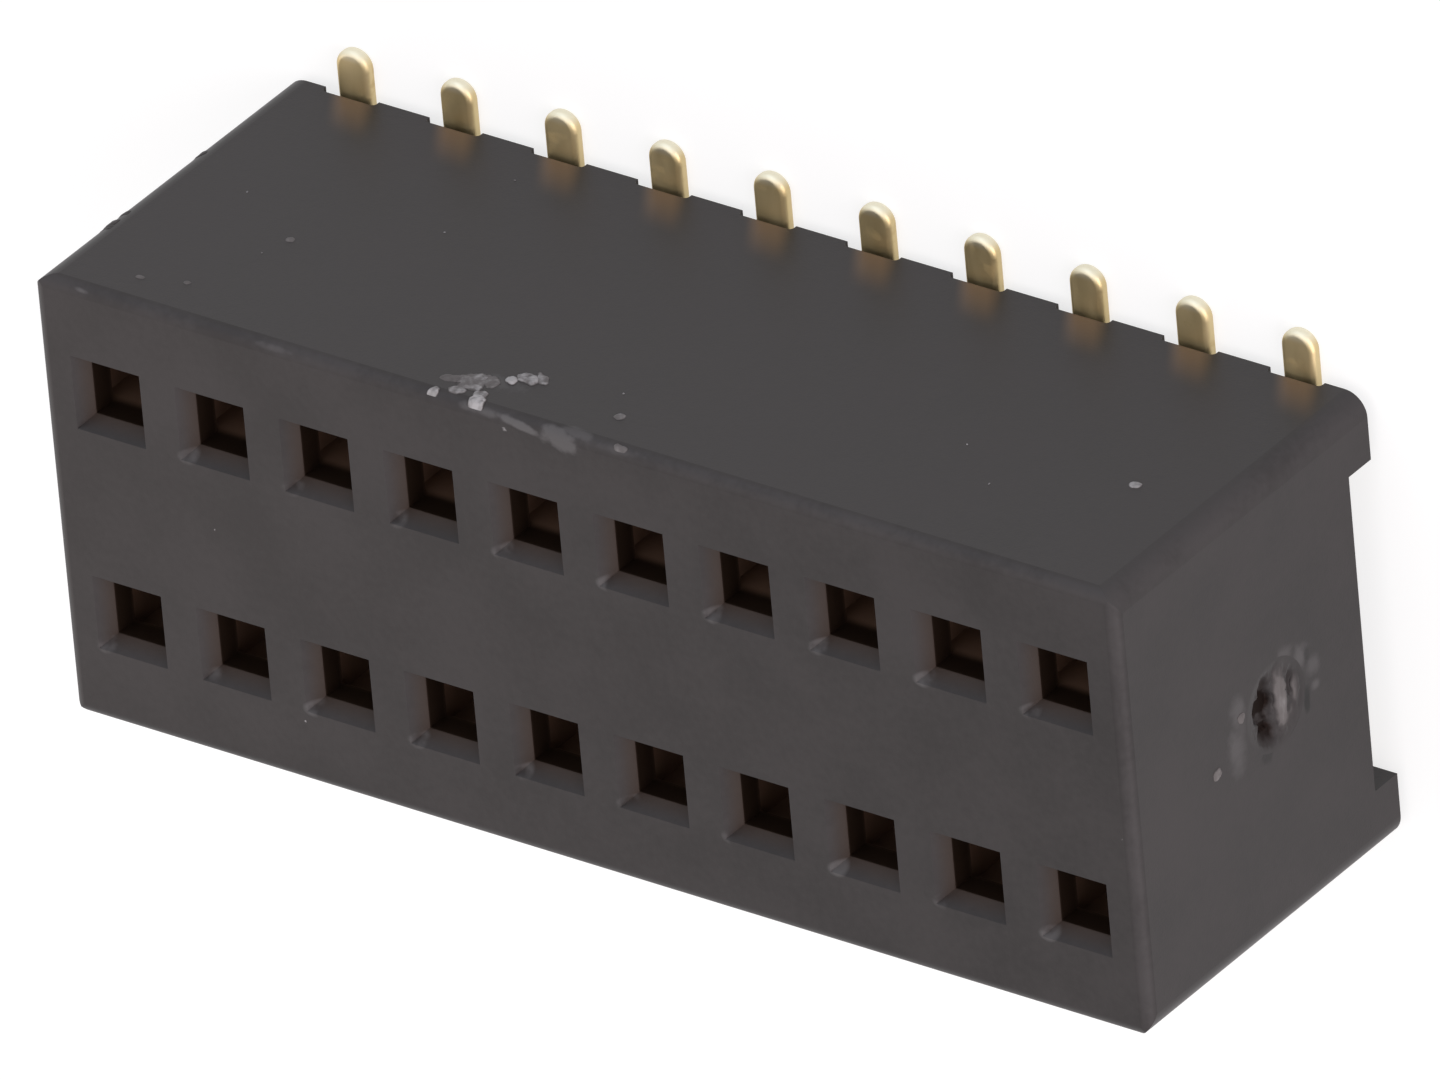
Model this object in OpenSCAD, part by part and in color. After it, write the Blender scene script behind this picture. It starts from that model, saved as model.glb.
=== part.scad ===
// Two-row surface-mount pin socket: a moulded housing that stands on the
// board and takes square pins from above, with one stamped spring contact
// in each socket. Every contact ends in a flat foot that leaves the housing
// through a notch in its side wall.
//
// X runs along the rows, Y across them and Z away from the board. The origin
// is the middle of the plane on which the feet rest.

/* [Grid] */
// Sockets in each row
positions = 10; // [2:1:25]
// Distance from one socket to the next along a row
pitch = 1.27; // [1.2:0.01:1.6]
// Distance between the two rows
row_pitch = 2.54; // [2.45:0.01:3.2]

/* [Housing] */
// Plastic beyond the centre of the last socket of a row
end_margin = 0.81; // [0.75:0.01:1.2]
// Plastic beyond the centre line of each row
side_margin = 1.265; // [1.2:0.005:1.6]
// Height from the ribs under the side walls to the mating face
body_h = 4.3; // [4.1:0.05:6]
// Radius of the upright corners
corner_r = 0.25; // [0.05:0.01:0.3]
// Radius round the mating face
edge_r = 0.13; // [0.05:0.01:0.2]
// Step between the contact chambers and the side walls of the channel
chamber_step = 0.025; // [0:0.005:0.1]
// Depth of the channel under the housing
channel_depth = 0.38; // [0.25:0.01:0.45]
// Width of the notch that lets a foot out
notch_w = 0.65; // [0.5:0.01:0.8]
// Depth of that notch above the ribs
notch_depth = 0.17; // [0.08:0.01:0.2]
// Radius at the roots of the ribs
rib_r = 0.05; // [0.01:0.01:0.06]

/* [Sockets] */
// Side of the square hole that guides the pin
throat = 0.59; // [0.5:0.01:0.6]
// Width that the flared mouth adds on each side of the hole
flare_side = 0.125; // [0.05:0.005:0.18]
// Depth of the flared mouth
flare_depth = 0.17; // [0.1:0.01:0.3]
// Plastic between the mating face and the contact chambers
cap = 0.45; // [0.4:0.05:0.8]
// Gap round a contact in its chamber
chamber_gap = 0.02; // [0.01:0.005:0.04]

/* [Gate mark] */
// Diameter of the shallow dimple round the gate
gate_d = 1; // [0.6:0.02:1.4]
// Depth of that dimple
gate_depth = 0.11; // [0.05:0.01:0.14]
// Depth of the pits that the torn gate left in it
pit_depth = 0.19; // [0.15:0.01:0.25]
// Height of the gate above the ribs
gate_height = 1.87; // [1.2:0.01:2.6]

/* [Contacts] */
// Thickness of the strip that the contacts are stamped from
stock = 0.15; // [0.13:0.01:0.16]
// Width of a contact across its folded sides
contact_w = 0.84; // [0.78:0.01:0.9]
// Width of the folded sides, without the back
side_w = 0.55; // [0.45:0.01:0.6]
// Height of the folded sides
side_h = 0.9; // [0.7:0.05:1.1]
// Depth of the folded sides above the channel, inside the chamber
side_inset = 0.15; // [0.1:0.01:0.3]
// Inside radius of the folds
fold_r = 0.06; // [0.03:0.01:0.1]
// Height of the two barbs on each side
barb_h = 0.16; // [0.1:0.01:0.2]
// Width of a spring beam
beam_w = 0.3; // [0.2:0.01:0.36]
// Height of the shoulder where a side narrows to its beam
shoulder_h = 0.25; // [0.15:0.01:0.4]
// Gap between the beam tips and the plastic over the chamber
tip_gap = 0.4; // [0.1:0.01:0.5]
// Gap between the two beams where they grip the pin
pinch_gap = 0.3; // [0.22:0.01:0.36]
// Radius of the beam where it touches the pin
pinch_r = 0.35; // [0.25:0.01:0.45]
// Lean of the beam tips away from the pin
tip_lean = 25; // [15:1:30]
// Length of the beam tips past the curve
tip_len = 0.12; // [0.05:0.01:0.2]

/* [Feet] */
// Width of a foot and of the tail above it
foot_w = 0.4; // [0.3:0.01:0.44]
// How far a foot stands out from the side wall
toe_reach = 0.48; // [0.3:0.01:1.2]
// Inside radius of the bend from tail to foot
bend_r = 0.15; // [0.1:0.01:0.16]
// Height of the ribs above the board
standoff = 0.16; // [0.15:0.01:0.25]
// Radius of the pressed edges of a foot
coin_r = 0.06; // [0.01:0.005:0.06]

/* [Hidden] */
body_l = (positions - 1) * pitch + 2 * end_margin;
body_w = row_pitch + 2 * side_margin;
mating_z = standoff + body_h;
channel_z = standoff + channel_depth;
chamber_top = mating_z - cap;
gate_z = standoff + gate_height;

// One contact, measured from the axis of its pin towards the side wall
back_y = side_w / 2 + fold_r;
chamber_w = contact_w + 2 * chamber_gap;
chamber_in = side_w / 2 + chamber_gap;
chamber_out = back_y + stock + chamber_gap;
channel_w = row_pitch + 2 * (chamber_out + chamber_step);
toe_y = side_margin + toe_reach;
heel_y = back_y + stock + bend_r;
side_x = contact_w / 2 - stock;
side_z = channel_z + side_inset;
side_top = side_z + side_h;
beam_z = side_top + shoulder_h;

// The beam's middle line leaves the side straight and meets the curve at the
// point where the line is tangent to it
curve_x = pinch_gap / 2 + pinch_r;
mid_r = pinch_r - stock / 2;
tip_rise = mid_r * sin(tip_lean) + tip_len * cos(tip_lean) + stock / 2;
pinch_z = chamber_top - tip_gap - tip_rise;
root_x = side_x + stock / 2;
root_dist = norm([root_x - curve_x, beam_z - pinch_z]);
root_angle = 360 + atan2(beam_z - pinch_z, root_x - curve_x);
start_angle = root_angle - acos(mid_r / root_dist);
end_angle = 180 - tip_lean;

eps = 0.01;
far = 3 * max(body_l, body_w, mating_z);

plastic = [0.27, 0.26, 0.27];
gold = [0.83, 0.69, 0.37];

rows = ["a", "b"];
function contact_name(row, i) = str("contact_", rows[row], i);
function socket_x(i) = (i - (positions + 1) / 2) * pitch;
function on_circle(r, angle) = r * [cos(angle), sin(angle)];

// ---- shapes used by more than one sub-part

// A rectangle with round corners, centred
module round_rect(w, h, r) {
    square([w - 2 * r, h], center = true);
    square([w, h - 2 * r], center = true);
    for (sx = [-1, 1]) for (sy = [-1, 1])
        translate([sx * (w / 2 - r), sy * (h / 2 - r)]) circle(r, $fn = 32);
}

// A flat shape in Y and Z, drawn out along X on both sides of the middle
module along_x(length) {
    rotate([90, 0, 90])
        translate([0, 0, -length / 2]) linear_extrude(length) children();
}

// A flat shape in X and Z, drawn out along Y on both sides of the middle
module along_y(length) {
    rotate([90, 0, 0])
        translate([0, 0, -length / 2]) linear_extrude(length) children();
}

// Places its children at every socket, turned so that +Y is outwards
module at_socket(row, i) {
    translate([socket_x(i), (0.5 - row) * row_pitch, 0])
        rotate(180 * row) children();
}

// ---- housing

// Block with round corners, and round edges at the mating face only
module block() {
    mid_z = mating_z / 2;
    intersection() {
        translate([0, 0, standoff])
            linear_extrude(body_h) round_rect(body_l, body_w, corner_r);
        along_x(far) translate([0, mid_z])
            round_rect(body_w, mating_z, edge_r);
        along_y(far) translate([0, mid_z])
            round_rect(body_l, mating_z, edge_r);
    }
}

// Open channel between the side walls
module channel() {
    translate([-far / 2, -channel_w / 2, standoff - eps])
        cube([far, channel_w, channel_depth + eps]);
}

// Notch over one foot, with round roots, through both side walls
module notch() {
    depth = notch_depth + rib_r;
    along_y(far)
        translate([0, standoff + (notch_depth - depth) / 2])
            round_rect(notch_w, depth, rib_r);
    translate([-notch_w / 2, -far / 2, 0]) cube([notch_w, far, standoff + eps]);
}

// Flared mouth, throat and the chamber behind them
module socket() {
    mouth = throat / 2 + flare_side;
    slope = flare_side / flare_depth;
    profile = [
        [-throat / 2, mating_z - flare_depth],
        [-mouth - eps * slope, mating_z + eps],
        [mouth + eps * slope, mating_z + eps],
        [throat / 2, mating_z - flare_depth]
    ];
    intersection() {
        along_x(far) polygon(profile);
        along_y(far) polygon(profile);
    }
    translate([-throat / 2, -throat / 2, chamber_top - eps])
        cube([throat, throat, cap]);
    translate([-chamber_w / 2, -chamber_in, channel_z - eps])
        cube([chamber_w, chamber_in + chamber_out, chamber_top - channel_z + eps]);
}

// Dimple with the pits of the broken gate, on the +X end face
module gate_mark() {
    // each pit: offset along Y and Z and diameter, as shares of the dimple
    pits = [[-0.08, 0.2, 0.36], [0.1, 0.02, 0.3], [-0.2, -0.14, 0.24], [0.24, 0.26, 0.18]];
    translate([body_l / 2, 0, gate_z]) rotate([0, 90, 0]) {
        translate([0, 0, -gate_depth])
            cylinder(h = 2 * gate_depth, d = gate_d, $fn = 48);
        for (p = pits)
            translate([-p[1] * gate_d, p[0] * gate_d, -pit_depth])
                cylinder(h = pit_depth, d = p[2] * gate_d, $fn = 24);
    }
}

module housing() {
    color(plastic) difference() {
        block();
        channel();
        for (i = [1:positions]) translate([socket_x(i), 0, 0]) notch();
        for (row = [0, 1]) for (i = [1:positions]) at_socket(row, i) socket();
        gate_mark();
    }
}

// ---- contact

// A flat shape with square corners at the bottom and round ones at the top
module arch(half_w, bottom, top, r) {
    translate([-half_w, bottom]) square([2 * half_w, top - bottom - r]);
    translate([r - half_w, bottom]) square([2 * (half_w - r), top - bottom]);
    for (s = [-1, 1]) translate([s * (half_w - r), top - r]) circle(r, $fn = 48);
}

// Folded lower end: a back and two sides, in plan
module folded_plan() {
    bottom = -side_w / 2;
    difference() {
        arch(contact_w / 2, bottom, back_y + stock, fold_r + stock);
        arch(side_x, bottom - eps, back_y, fold_r);
    }
}

// Barbs that bite on the chamber wall, on the outside of both sides
module barbs() {
    for (s = [-1, 1]) for (step = [1, 2])
        translate([0, -side_w / 8, side_z + step * side_h / 3])
            along_y(side_w / 2)
                polygon([
                    [s * (contact_w / 2 - eps), -barb_h / 2],
                    [s * chamber_w / 2, -barb_h / 2],
                    [s * (contact_w / 2 - eps), barb_h / 2]
                ]);
}

// Shoulder on each side that narrows it to the width of the beam
module shoulders() {
    for (s = [-1, 1])
        translate([s * root_x, 0, 0]) along_x(stock)
            polygon([
                [-side_w / 2, side_top - eps],
                [side_w / 2, side_top - eps],
                [beam_w / 2, beam_z],
                [-beam_w / 2, beam_z]
            ]);
}

// A straight length of strip between two points, seen on its edge
module strip(from, to) {
    step = to - from;
    translate(from) rotate(atan2(step[1], step[0]))
        translate([-eps, -stock / 2]) square([norm(step) + 2 * eps, stock]);
}

// One spring beam, seen on its edge: it leans in, curves and leans out again
module beam_profile() {
    centre = [curve_x, pinch_z];
    curve_start = centre + on_circle(mid_r, start_angle);
    curve_end = centre + on_circle(mid_r, end_angle);
    tip = curve_end + on_circle(tip_len, end_angle - 90);
    wedge = 2 * pinch_r;
    strip([root_x, beam_z], curve_start);
    strip(curve_end, tip);
    for (p = [[root_x, beam_z], tip]) translate(p) circle(stock / 2, $fn = 32);
    translate(centre) intersection() {
        difference() {
            circle(pinch_r, $fn = 64);
            circle(pinch_r - stock, $fn = 64);
        }
        polygon([
            [0, 0],
            on_circle(wedge, start_angle),
            on_circle(wedge, (start_angle + end_angle) / 2),
            on_circle(wedge, end_angle)
        ]);
    }
}

module beams() {
    for (s = [0, 1]) mirror([s, 0, 0]) along_y(beam_w) beam_profile();
}

// A flat rectangle with its lower inner corner rounded
module bent_corner(y0, z0, y1, z1, r) {
    intersection() {
        translate([y0, z0]) square([y1 - y0, z1 - z0]);
        union() {
            translate([y0 + r, z0]) square([y1 - y0, z1 - z0]);
            translate([y0, z0 + r]) square([y1 - y0, z1 - z0]);
            translate([y0 + r, z0 + r]) circle(r, $fn = 48);
        }
    }
}

// Tail from the back down to the bend, drawn in to the width of the foot
module tail() {
    neck_w = contact_w - 2 * (fold_r + stock);
    neck_z = side_z - abs(neck_w - foot_w) / 2;
    translate([0, back_y + stock / 2, 0]) along_y(stock)
        polygon([
            [-foot_w / 2, neck_z - eps],
            [foot_w / 2, neck_z - eps],
            [foot_w / 2, neck_z],
            [neck_w / 2, side_z + eps],
            [-neck_w / 2, side_z + eps],
            [-foot_w / 2, neck_z]
        ]);
    along_x(foot_w) difference() {
        bent_corner(back_y, 0, heel_y + eps, neck_z, bend_r + stock);
        bent_corner(back_y + stock, stock, heel_y + 2 * eps, neck_z + eps, bend_r);
    }
}

// Section of a foot with its pressed edges, or only the half beyond X = 0
module foot_section(half = false) {
    intersection() {
        translate([0, stock / 2]) round_rect(foot_w, stock, coin_r);
        translate([half ? 0 : -foot_w / 2, 0]) square([foot_w, stock]);
    }
}

// Flat foot with pressed edges, and a toe turned from the same section
module foot() {
    bar = toe_y - foot_w / 2 - heel_y;
    translate([0, heel_y + bar / 2, 0]) along_y(bar) foot_section();
    translate([0, heel_y + bar, 0])
        rotate_extrude(angle = 180, $fn = 64) foot_section(half = true);
}

module contact(row, i) {
    color(gold) at_socket(row, i) {
        translate([0, 0, side_z]) linear_extrude(side_h) folded_plan();
        barbs();
        shoulders();
        beams();
        tail();
        foot();
    }
}

housing();
for (row = [0, 1]) for (i = [1:positions])
    contact(row, i);
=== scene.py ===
import math
import bpy
import numpy as np
from mathutils import Matrix, Vector


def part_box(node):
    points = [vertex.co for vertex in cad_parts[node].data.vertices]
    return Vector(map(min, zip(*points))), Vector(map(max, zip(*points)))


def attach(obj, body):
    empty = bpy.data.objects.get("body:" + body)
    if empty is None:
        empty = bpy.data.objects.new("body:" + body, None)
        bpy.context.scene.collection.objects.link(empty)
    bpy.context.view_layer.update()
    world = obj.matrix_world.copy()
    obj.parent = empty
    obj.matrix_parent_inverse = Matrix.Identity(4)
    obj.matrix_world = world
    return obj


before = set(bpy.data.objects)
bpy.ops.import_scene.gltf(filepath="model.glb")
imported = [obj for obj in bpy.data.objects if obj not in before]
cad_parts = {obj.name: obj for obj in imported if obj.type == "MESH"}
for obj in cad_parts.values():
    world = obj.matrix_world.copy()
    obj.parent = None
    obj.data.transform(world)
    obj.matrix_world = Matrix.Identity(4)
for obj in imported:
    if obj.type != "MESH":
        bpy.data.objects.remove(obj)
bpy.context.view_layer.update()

# Two-row pin socket for surface mounting. The housing and the stamped contacts come with the frame,
# and this adds their finishes, the torn gate scar, the scuffed edge, the flash and the dust.
# X runs along the rows, Y across them, Z away from the board. Sizes are in millimetres unless noted.

mm = 0.001
housingLow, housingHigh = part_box("housing")
endX = housingHigh.x / mm       # end wall with the gate scar
wallY = housingHigh.y / mm      # long side wall over the feet
topZ = housingHigh.z / mm       # mating face
ribZ = housingLow.z / mm        # ribs under the side walls
print("frame loaded:", len(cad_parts), "nodes")
print("housing up to", round(endX, 3), round(wallY, 3), round(topZ, 3))

# sizes of the moulding that the finishes and the relief follow
moulding = {
    "pitch": 1.27,            # from one foot to the next
    "rowOffset": 1.27,        # of each row from the middle
    "cornerRadius": 0.25,     # of the upright corners
    "edgeRadius": 0.13,       # round the mating face
    "mouthDepth": 0.17,       # of the flared mouths
    "capDepth": 0.45,         # plastic over the contact chambers
    "shell": 0.3,             # outer plastic with no socket in it
    "channelTop": 0.42,       # just over the channel's roof, from the ribs
    "gateHeight": 1.87,       # from the ribs
}


# small helpers for pieces and node trees

def putInScene(name, data):
    item = bpy.data.objects.new(name, data)
    bpy.context.scene.collection.objects.link(item)
    return item


def feed(tree, socket, value):
    if isinstance(value, bpy.types.NodeSocket):
        tree.links.new(value, socket)
    else:
        socket.default_value = value


def addNode(tree, kind, sockets=None, **settings):
    node = tree.nodes.new(kind)
    for name, value in settings.items():
        setattr(node, name, value)
    for key, value in (sockets or {}).items():
        feed(tree, node.inputs[key], value)
    return node


def calc(tree, operation, first, second=0.0, third=0.0):
    sockets = {0: first, 1: second, 2: third}
    return addNode(tree, "ShaderNodeMath", sockets, operation=operation).outputs[0]


def vectorCalc(tree, operation, first, second=(0, 0, 0), third=(0, 0, 0)):
    sockets = {0: first, 1: second, 2: third}
    return addNode(tree, "ShaderNodeVectorMath", sockets, operation=operation).outputs


def scaled(tree, vector, factor):
    return addNode(tree, "ShaderNodeVectorMath", {0: vector, 3: factor}, operation="SCALE").outputs[0]


def ramp(tree, value, low, high, start=0.0, end=1.0):
    sockets = {0: value, 1: low, 2: high, 3: start, 4: end}
    return addNode(tree, "ShaderNodeMapRange", sockets, interpolation_type="SMOOTHSTEP").outputs[0]


def blendColours(tree, factor, first, second):
    sockets = {0: factor, 6: first, 7: second}
    return addNode(tree, "ShaderNodeMix", sockets, data_type="RGBA").outputs[2]


def noise(tree, place, scale, detail):
    sockets = {"Vector": place, "Scale": scale, "Detail": detail}
    return addNode(tree, "ShaderNodeTexNoise", sockets).outputs


# the point on the part in millimetres, whole or as X, Y and Z
def partPoint(tree):
    place = tree.nodes.new("ShaderNodeTexCoord").outputs["Object"]
    return scaled(tree, place, 1 / mm)


def partPlace(tree):
    return addNode(tree, "ShaderNodeSeparateXYZ", {0: partPoint(tree)}).outputs


def startGroup(name, inputs, outputs):
    group = bpy.data.node_groups.new(name, "ShaderNodeTree")
    for label, kind, value in inputs:
        socket = group.interface.new_socket(name=label, in_out="INPUT", socket_type="NodeSocket" + kind)
        socket.default_value = value
    for label, kind in outputs:
        group.interface.new_socket(name=label, in_out="OUTPUT", socket_type="NodeSocket" + kind)
    start = group.nodes.new("NodeGroupInput")
    end = group.nodes.new("NodeGroupOutput")
    return group, start.outputs, end.inputs


def useGroup(tree, group, output, **values):
    node = tree.nodes.new("ShaderNodeGroup")
    node.node_tree = group
    for name, value in values.items():
        label = "".join(" " + c if c.isupper() else c for c in name).title()   # halfSize is Half Size
        feed(tree, node.inputs[label], value)
    return node.outputs[output]


# effects that several finishes share

def makeMouldGrain():
    group, given, result = startGroup(
        "mouldGrain",
        [("Grain", "Float", 40.0), ("Patches", "Float", 0.8), ("Stretch", "Vector", (1, 1, 1))],
        [("Height", "Float"), ("Tone", "Float")],
    )
    place = vectorCalc(group, "MULTIPLY", partPoint(group), given["Stretch"])[0]
    fine = noise(group, place, given["Grain"], 3.0)[0]
    middle = noise(group, place, calc(group, "MULTIPLY", given["Grain"], 0.3), 2.0)[0]
    broad = noise(group, place, given["Patches"], 3.0)[0]
    height = calc(group, "MULTIPLY_ADD", fine, 0.6, calc(group, "MULTIPLY", middle, 0.4))
    tone = calc(group, "MULTIPLY_ADD", broad, 0.7, calc(group, "MULTIPLY", middle, 0.3))
    feed(group, result["Height"], height)
    feed(group, result["Tone"], ramp(group, tone, 0.3, 0.7))
    return group


def makeWhitenedPatch():
    group, given, result = startGroup(
        "whitenedPatch",
        [
            ("Centre", "Vector", (0, 0, 0)),
            ("Half Size", "Vector", (1, 1, 1)),
            ("Lean", "Vector", (0, 0, 0)),
            ("Ragged", "Float", 0.6),
            ("Grain", "Float", 6.0),
            ("Soft", "Float", 0.5),
        ],
        [("Mask", "Float")],
    )
    point = partPoint(group)
    away = vectorCalc(group, "SUBTRACT", point, given["Centre"])[0]
    sockets = {"Vector": away, "Rotation": given["Lean"]}
    turned = addNode(group, "ShaderNodeVectorRotate", sockets, rotation_type="EULER_XYZ").outputs[0]
    share = vectorCalc(group, "DIVIDE", turned, given["Half Size"])[0]
    reach = vectorCalc(group, "LENGTH", share)["Value"]
    uneven = calc(group, "SUBTRACT", noise(group, point, given["Grain"], 4.0)[0], 0.5)
    breakup = calc(group, "MULTIPLY", uneven, given["Ragged"])
    edge = calc(group, "MULTIPLY_ADD", breakup, 3.0, reach)
    inner = calc(group, "SUBTRACT", 1.0, given["Soft"])
    feed(group, result["Mask"], ramp(group, edge, inner, 1.0, 1.0, 0.0))
    return group


def makeSettledDust():
    group, given, result = startGroup(
        "settledDust",
        [("Spacing", "Float", 1.6), ("Share", "Float", 0.3), ("Speck", "Float", 0.06)],
        [("Mask", "Float")],
    )
    point = partPoint(group)
    bend = noise(group, point, 30.0, 1.0)["Color"]
    shifted = vectorCalc(group, "MULTIPLY_ADD", bend, (0.03, 0.03, 0.03), point)[0]
    sockets = {"Vector": shifted, "Scale": given["Spacing"]}
    cells = addNode(group, "ShaderNodeTexVoronoi", sockets).outputs
    draw = addNode(group, "ShaderNodeSeparateColor", {"Color": cells["Color"]}).outputs
    size = calc(group, "MULTIPLY", given["Speck"], calc(group, "MULTIPLY_ADD", draw[1], 0.8, 0.3))
    spot = ramp(group, calc(group, "DIVIDE", cells["Distance"], size), 0.6, 1.0, 1.0, 0.0)
    chosen = calc(group, "LESS_THAN", draw[0], given["Share"])
    feed(group, result["Mask"], calc(group, "MULTIPLY", spot, chosen))
    return group


mouldGrain = makeMouldGrain()
whitenedPatch = makeWhitenedPatch()
settledDust = makeSettledDust()
print("shared effects ready")


# finishes

def startMaterial(name):
    material = bpy.data.materials.new(name)
    material.use_nodes = True
    tree = material.node_tree
    tree.nodes.clear()
    shader = tree.nodes.new("ShaderNodeBsdfPrincipled")
    output = tree.nodes.new("ShaderNodeOutputMaterial")
    tree.links.new(shader.outputs[0], output.inputs[0])
    return material, tree, shader


def addBump(tree, shader, height, distance):
    sockets = {"Height": height, "Distance": distance * mm, "Strength": 1.0}
    bump = addNode(tree, "ShaderNodeBump", sockets)
    tree.links.new(bump.outputs[0], shader.inputs["Normal"])


housingFinish = {
    "dark": (0.0225, 0.0195, 0.0198, 1),
    "light": (0.0355, 0.0314, 0.0318, 1),
    "grain": {"grain": 38.0, "patches": 0.9},     # features per mm: texture of the mould, broad tone
    "grainDepth": 0.0016,
    "roughness": (0.38, 0.48),
    "specular": 0.25,
    "rubbed": (0.052, 0.048, 0.049, 1),
    "rubbedShare": (0.35, 0.75),              # strength on dark and on light plastic
    "rubbedStart": 0.6,                       # share of the edge's radius
    # painted reflection of the gold feet on the side walls
    "footReflectionColour": (0.18, 0.115, 0.07, 1),
    "footReflectionReach": (0.3, 0.75, 0.6),            # painted reflection of the feet: reach to the side, up, and slant
    "footReflectionShare": 0.8,
    # painted shade down the flares and throats of the sockets
    "throat": (0.042, 0.026, 0.018, 1),
    "throatFade": (-0.015, 0.03),             # begins and is full, from the mouth's depth
    "throatRough": 0.2,                       # rougher by this inside the sockets
    "flareShadeShare": 0.7,                        # of the painted throat shade, at the bottom of the flare
    # lighter brown painted light in the chambers, as thrown by the gold contacts
    "chamber": (0.16, 0.096, 0.066, 1),
    "chamberFade": (-0.05, 0.1),              # begins and is full, from the cap's depth
    # colour of the whitened scuffs and of the painted highlights at the mouths
    "whitenedAndHighlight": (0.17, 0.165, 0.168, 1),
    "whitenedRough": 0.25,                    # rougher by this on whitened scuffs and under the painted highlights
    "whitenedRise": 0.8,                      # and raised by this share of the grain's depth
    "highlightSpot": (0.35, 0.38, 0.11, 0.075),    # painted highlight at a mouth's corner: place and size
    "highlightDepth": 0.16,                        # how far it reaches down the flare
    "highlightShare": 0.4,
    "dust": (0.34, 0.33, 0.34, 1),
    "dustSpread": {"spacing": 1.1, "share": 0.16, "speck": 0.05},
    "dustShare": 0.7,
    # centre, half size, turn about Z, ragged, grain, soft, strength
    "scuffs": [
        ((-1.2, wallY, topZ - 0.47), (0.42, 0.12, 0.16), 0, 0.5, 9.0, 0.7, 0.2),
        ((-0.64, wallY - 0.07, topZ), (0.36, 0.055, 0.08), -10, 0.35, 7.0, 0.5, 0.5),
        ((-0.12, wallY - 0.1, topZ), (0.3, 0.15, 0.12), -12, 0.5, 6.0, 0.5, 0.42),
        ((0.05, wallY, topZ - 0.05), (0.25, 0.06, 0.12), 0, 0.4, 6.0, 0.6, 0.3),
        ((0.55, wallY - 0.03, topZ), (0.4, 0.06, 0.08), 0, 0.5, 6.0, 0.7, 0.2),
        ((-1.1, wallY - 0.04, topZ), (0.3, 0.06, 0.08), 0, 0.5, 6.0, 0.7, 0.35),
        ((-5.95, wallY - 0.04, topZ), (0.16, 0.035, 0.05), -8, 0.4, 6.0, 0.6, 0.45),
        ((-3.6, wallY - 0.03, topZ), (0.5, 0.05, 0.05), 0, 0.6, 5.0, 0.7, 0.22),
        ((endX, 0.2, topZ - 1.84), (0.1, 0.32, 0.17), 0, 0.5, 5.0, 0.95, 0.3),
        ((endX, -0.18, topZ - 1.76), (0.1, 0.38, 0.19), 0, 0.5, 5.0, 0.95, 0.3),
        ((endX, 0.44, topZ - 2.62), (0.1, 0.16, 0.2), 0, 0.4, 7.0, 0.9, 0.26),
        ((endX, 0.3, topZ - 2.88), (0.1, 0.18, 0.2), 0, 0.4, 7.0, 0.9, 0.34),
        ((endX, 0.12, topZ - 3.1), (0.1, 0.16, 0.16), 0, 0.4, 7.0, 0.9, 0.26),
        ((endX, -0.13, topZ - 3.11), (0.1, 0.08, 0.1), 0, 0.2, 7.0, 0.8, 0.3),
    ],
    # painted shade where pits on the end wall lie dark
    "pitShade": (0.006, 0.005, 0.005, 1),
    # centre, half size, strength
    "pitShades": [
        ((endX, -0.2, topZ - 2.95), (0.1, 0.2, 0.07), 0.95),
        ((endX, -0.47, topZ - 2.24), (0.1, 0.13, 0.12), 0.6),
        ((endX, 0.27, topZ - 3.0), (0.1, 0.1, 0.06), 0.5),
    ],
    "pitShadeEdge": {"ragged": 0.35, "grain": 8.0, "soft": 0.6},
}


# painted reflection of each foot on the side wall below it, slanted as its mirror image falls
def paintFootReflections(tree, finish):
    place = partPlace(tree)
    half = 0.5 * moulding["pitch"]
    side, up, slant = finish["footReflectionReach"]
    height = calc(tree, "SUBTRACT", place["Z"], ribZ)
    fromCell = calc(tree, "ADD", place["X"], half)
    shifted = calc(tree, "SUBTRACT", fromCell, calc(tree, "MULTIPLY", height, slant))
    beside = calc(tree, "ABSOLUTE", calc(tree, "WRAP", shifted, half, -half))
    near = ramp(tree, beside, 0.3 * side, side, 1.0, 0.0)     # full close to the foot
    low = ramp(tree, height, 0.15 * up, up, 1.0, 0.0)
    outside = calc(tree, "GREATER_THAN", calc(tree, "ABSOLUTE", place["Y"]), wallY - 0.02)
    return calc(tree, "MULTIPLY", calc(tree, "MULTIPLY", near, low), outside)


# painted highlight at one corner of each flared mouth, on the side of its flare that faces the light
def paintMouthHighlights(tree, finish):
    place = partPlace(tree)
    half = 0.5 * moulding["pitch"]
    spotX, spotY, sizeX, sizeY = finish["highlightSpot"]
    cellX = calc(tree, "WRAP", calc(tree, "ADD", place["X"], half), half, -half)
    rowY = calc(tree, "MULTIPLY", calc(tree, "SIGN", place["Y"]), moulding["rowOffset"])
    cellY = calc(tree, "SUBTRACT", place["Y"], rowY)
    shareX = calc(tree, "DIVIDE", calc(tree, "ADD", cellX, spotX), sizeX)
    shareY = calc(tree, "DIVIDE", calc(tree, "ADD", cellY, spotY), sizeY)
    squareX = calc(tree, "MULTIPLY", shareX, shareX)
    squareY = calc(tree, "MULTIPLY", shareY, shareY)
    away = calc(tree, "ADD", squareX, squareY)
    uneven = ramp(tree, noise(tree, partPoint(tree), 3.0, 3.0)[0], 0.42, 0.62)   # not at every mouth
    nearFace = calc(tree, "GREATER_THAN", place["Z"], topZ - finish["highlightDepth"])
    spot = calc(tree, "MULTIPLY", ramp(tree, away, 0.2, 1.4, 1.0, 0.0), uneven)
    return calc(tree, "MULTIPLY", spot, nearFace)


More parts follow.
